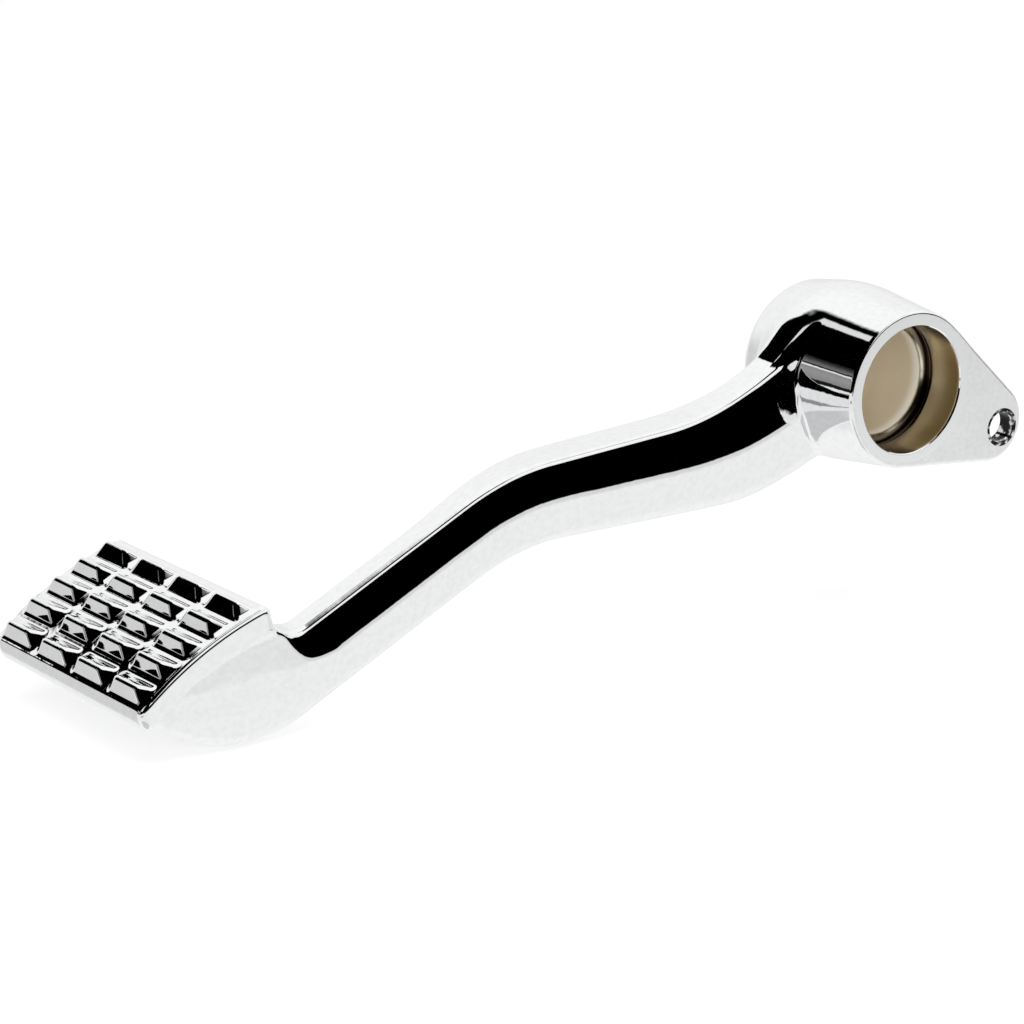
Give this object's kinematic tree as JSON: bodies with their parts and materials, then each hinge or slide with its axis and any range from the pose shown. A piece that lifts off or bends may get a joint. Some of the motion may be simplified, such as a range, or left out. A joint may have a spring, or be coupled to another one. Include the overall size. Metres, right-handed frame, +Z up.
{
  "type": "rear brake pedal",
  "caption": "Chromed motorcycle rear brake pedal: pivot hub with a stepped bore, cranked arm, waffle-toothed crowned foot pad and a flat rod lever with an eye.",
  "frame": {"origin": "centre of the open mouth of the pivot bore, in the hub's flat end face", "axes": "+Y out of the bore's mouth along the pivot axis, +X forward to the foot pad, +Z up as the pedal sits on the motorcycle"},
  "size_m": [0.2438, 0.0924, 0.0855],
  "materials": {
    "chrome": "polished chrome plating, with a matt tan undercoat inside the pivot bore"
  },
  "bodies": {
    "root": {"brake_pedal": "chrome"}
  },
  "joints": []
}
